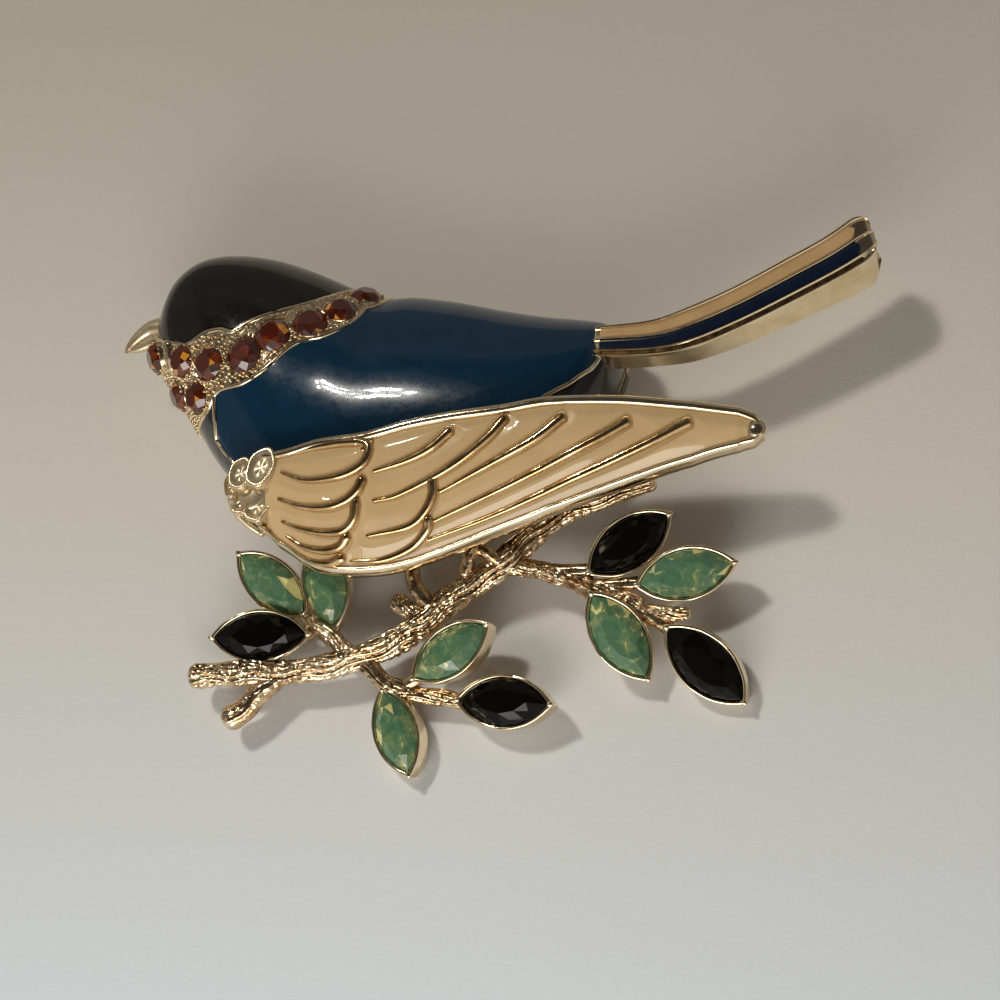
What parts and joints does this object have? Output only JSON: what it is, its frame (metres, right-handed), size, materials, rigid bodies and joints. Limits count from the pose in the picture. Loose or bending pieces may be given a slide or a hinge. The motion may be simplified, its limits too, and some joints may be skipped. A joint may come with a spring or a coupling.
{
  "type": "bird brooch",
  "caption": "Enamelled metal brooch of a small bird with a raised wing, perched above a branch whose leaves are set stones, with a bar pin behind.",
  "frame": {"origin": "centre of the bounding box in plan, at the height of the surface that the brooch lies on", "axes": "+X runs from the beak to the tail, +Y from the branch to the bird's back, +Z out of the brooch's face"},
  "size_m": [0.0745, 0.0511, 0.0133],
  "materials": {
    "gold": "polished pale gold plating",
    "black_enamel": "gloss enamel",
    "teal_enamel": "gloss enamel",
    "slate_enamel": "gloss enamel",
    "cream_enamel": "gloss enamel",
    "pin_metal": "plain plated metal",
    "opal_glass": "cut milky glass",
    "jet_glass": "cut black glass",
    "amber_glass": "cut foil-backed glass"
  },
  "bodies": {
    "root": {"bird_casting": "gold", "wing_casting": "gold", "cap_enamel": "black_enamel", "back_enamel": "teal_enamel", "breast_enamel": "slate_enamel", "rump_enamel": "slate_enamel", "wing_enamel": "cream_enamel", "tail_cream_enamel": "cream_enamel", "tail_blue_enamel": "teal_enamel", "pin_back": "pin_metal", "leaf_stone_1": "opal_glass", "leaf_stone_2": "opal_glass", "leaf_stone_3": "jet_glass", "leaf_stone_4": "opal_glass", "leaf_stone_5": "opal_glass", "leaf_stone_6": "jet_glass", "leaf_stone_7": "jet_glass", "leaf_stone_8": "opal_glass", "leaf_stone_9": "opal_glass", "leaf_stone_10": "jet_glass", "collar_stone_1": "amber_glass", "collar_stone_2": "amber_glass", "collar_stone_3": "amber_glass", "collar_stone_4": "amber_glass", "collar_stone_5": "amber_glass", "collar_stone_6": "amber_glass", "collar_stone_7": "amber_glass", "collar_stone_8": "amber_glass", "collar_stone_9": "amber_glass", "collar_stone_10": "amber_glass"}
  },
  "joints": []
}
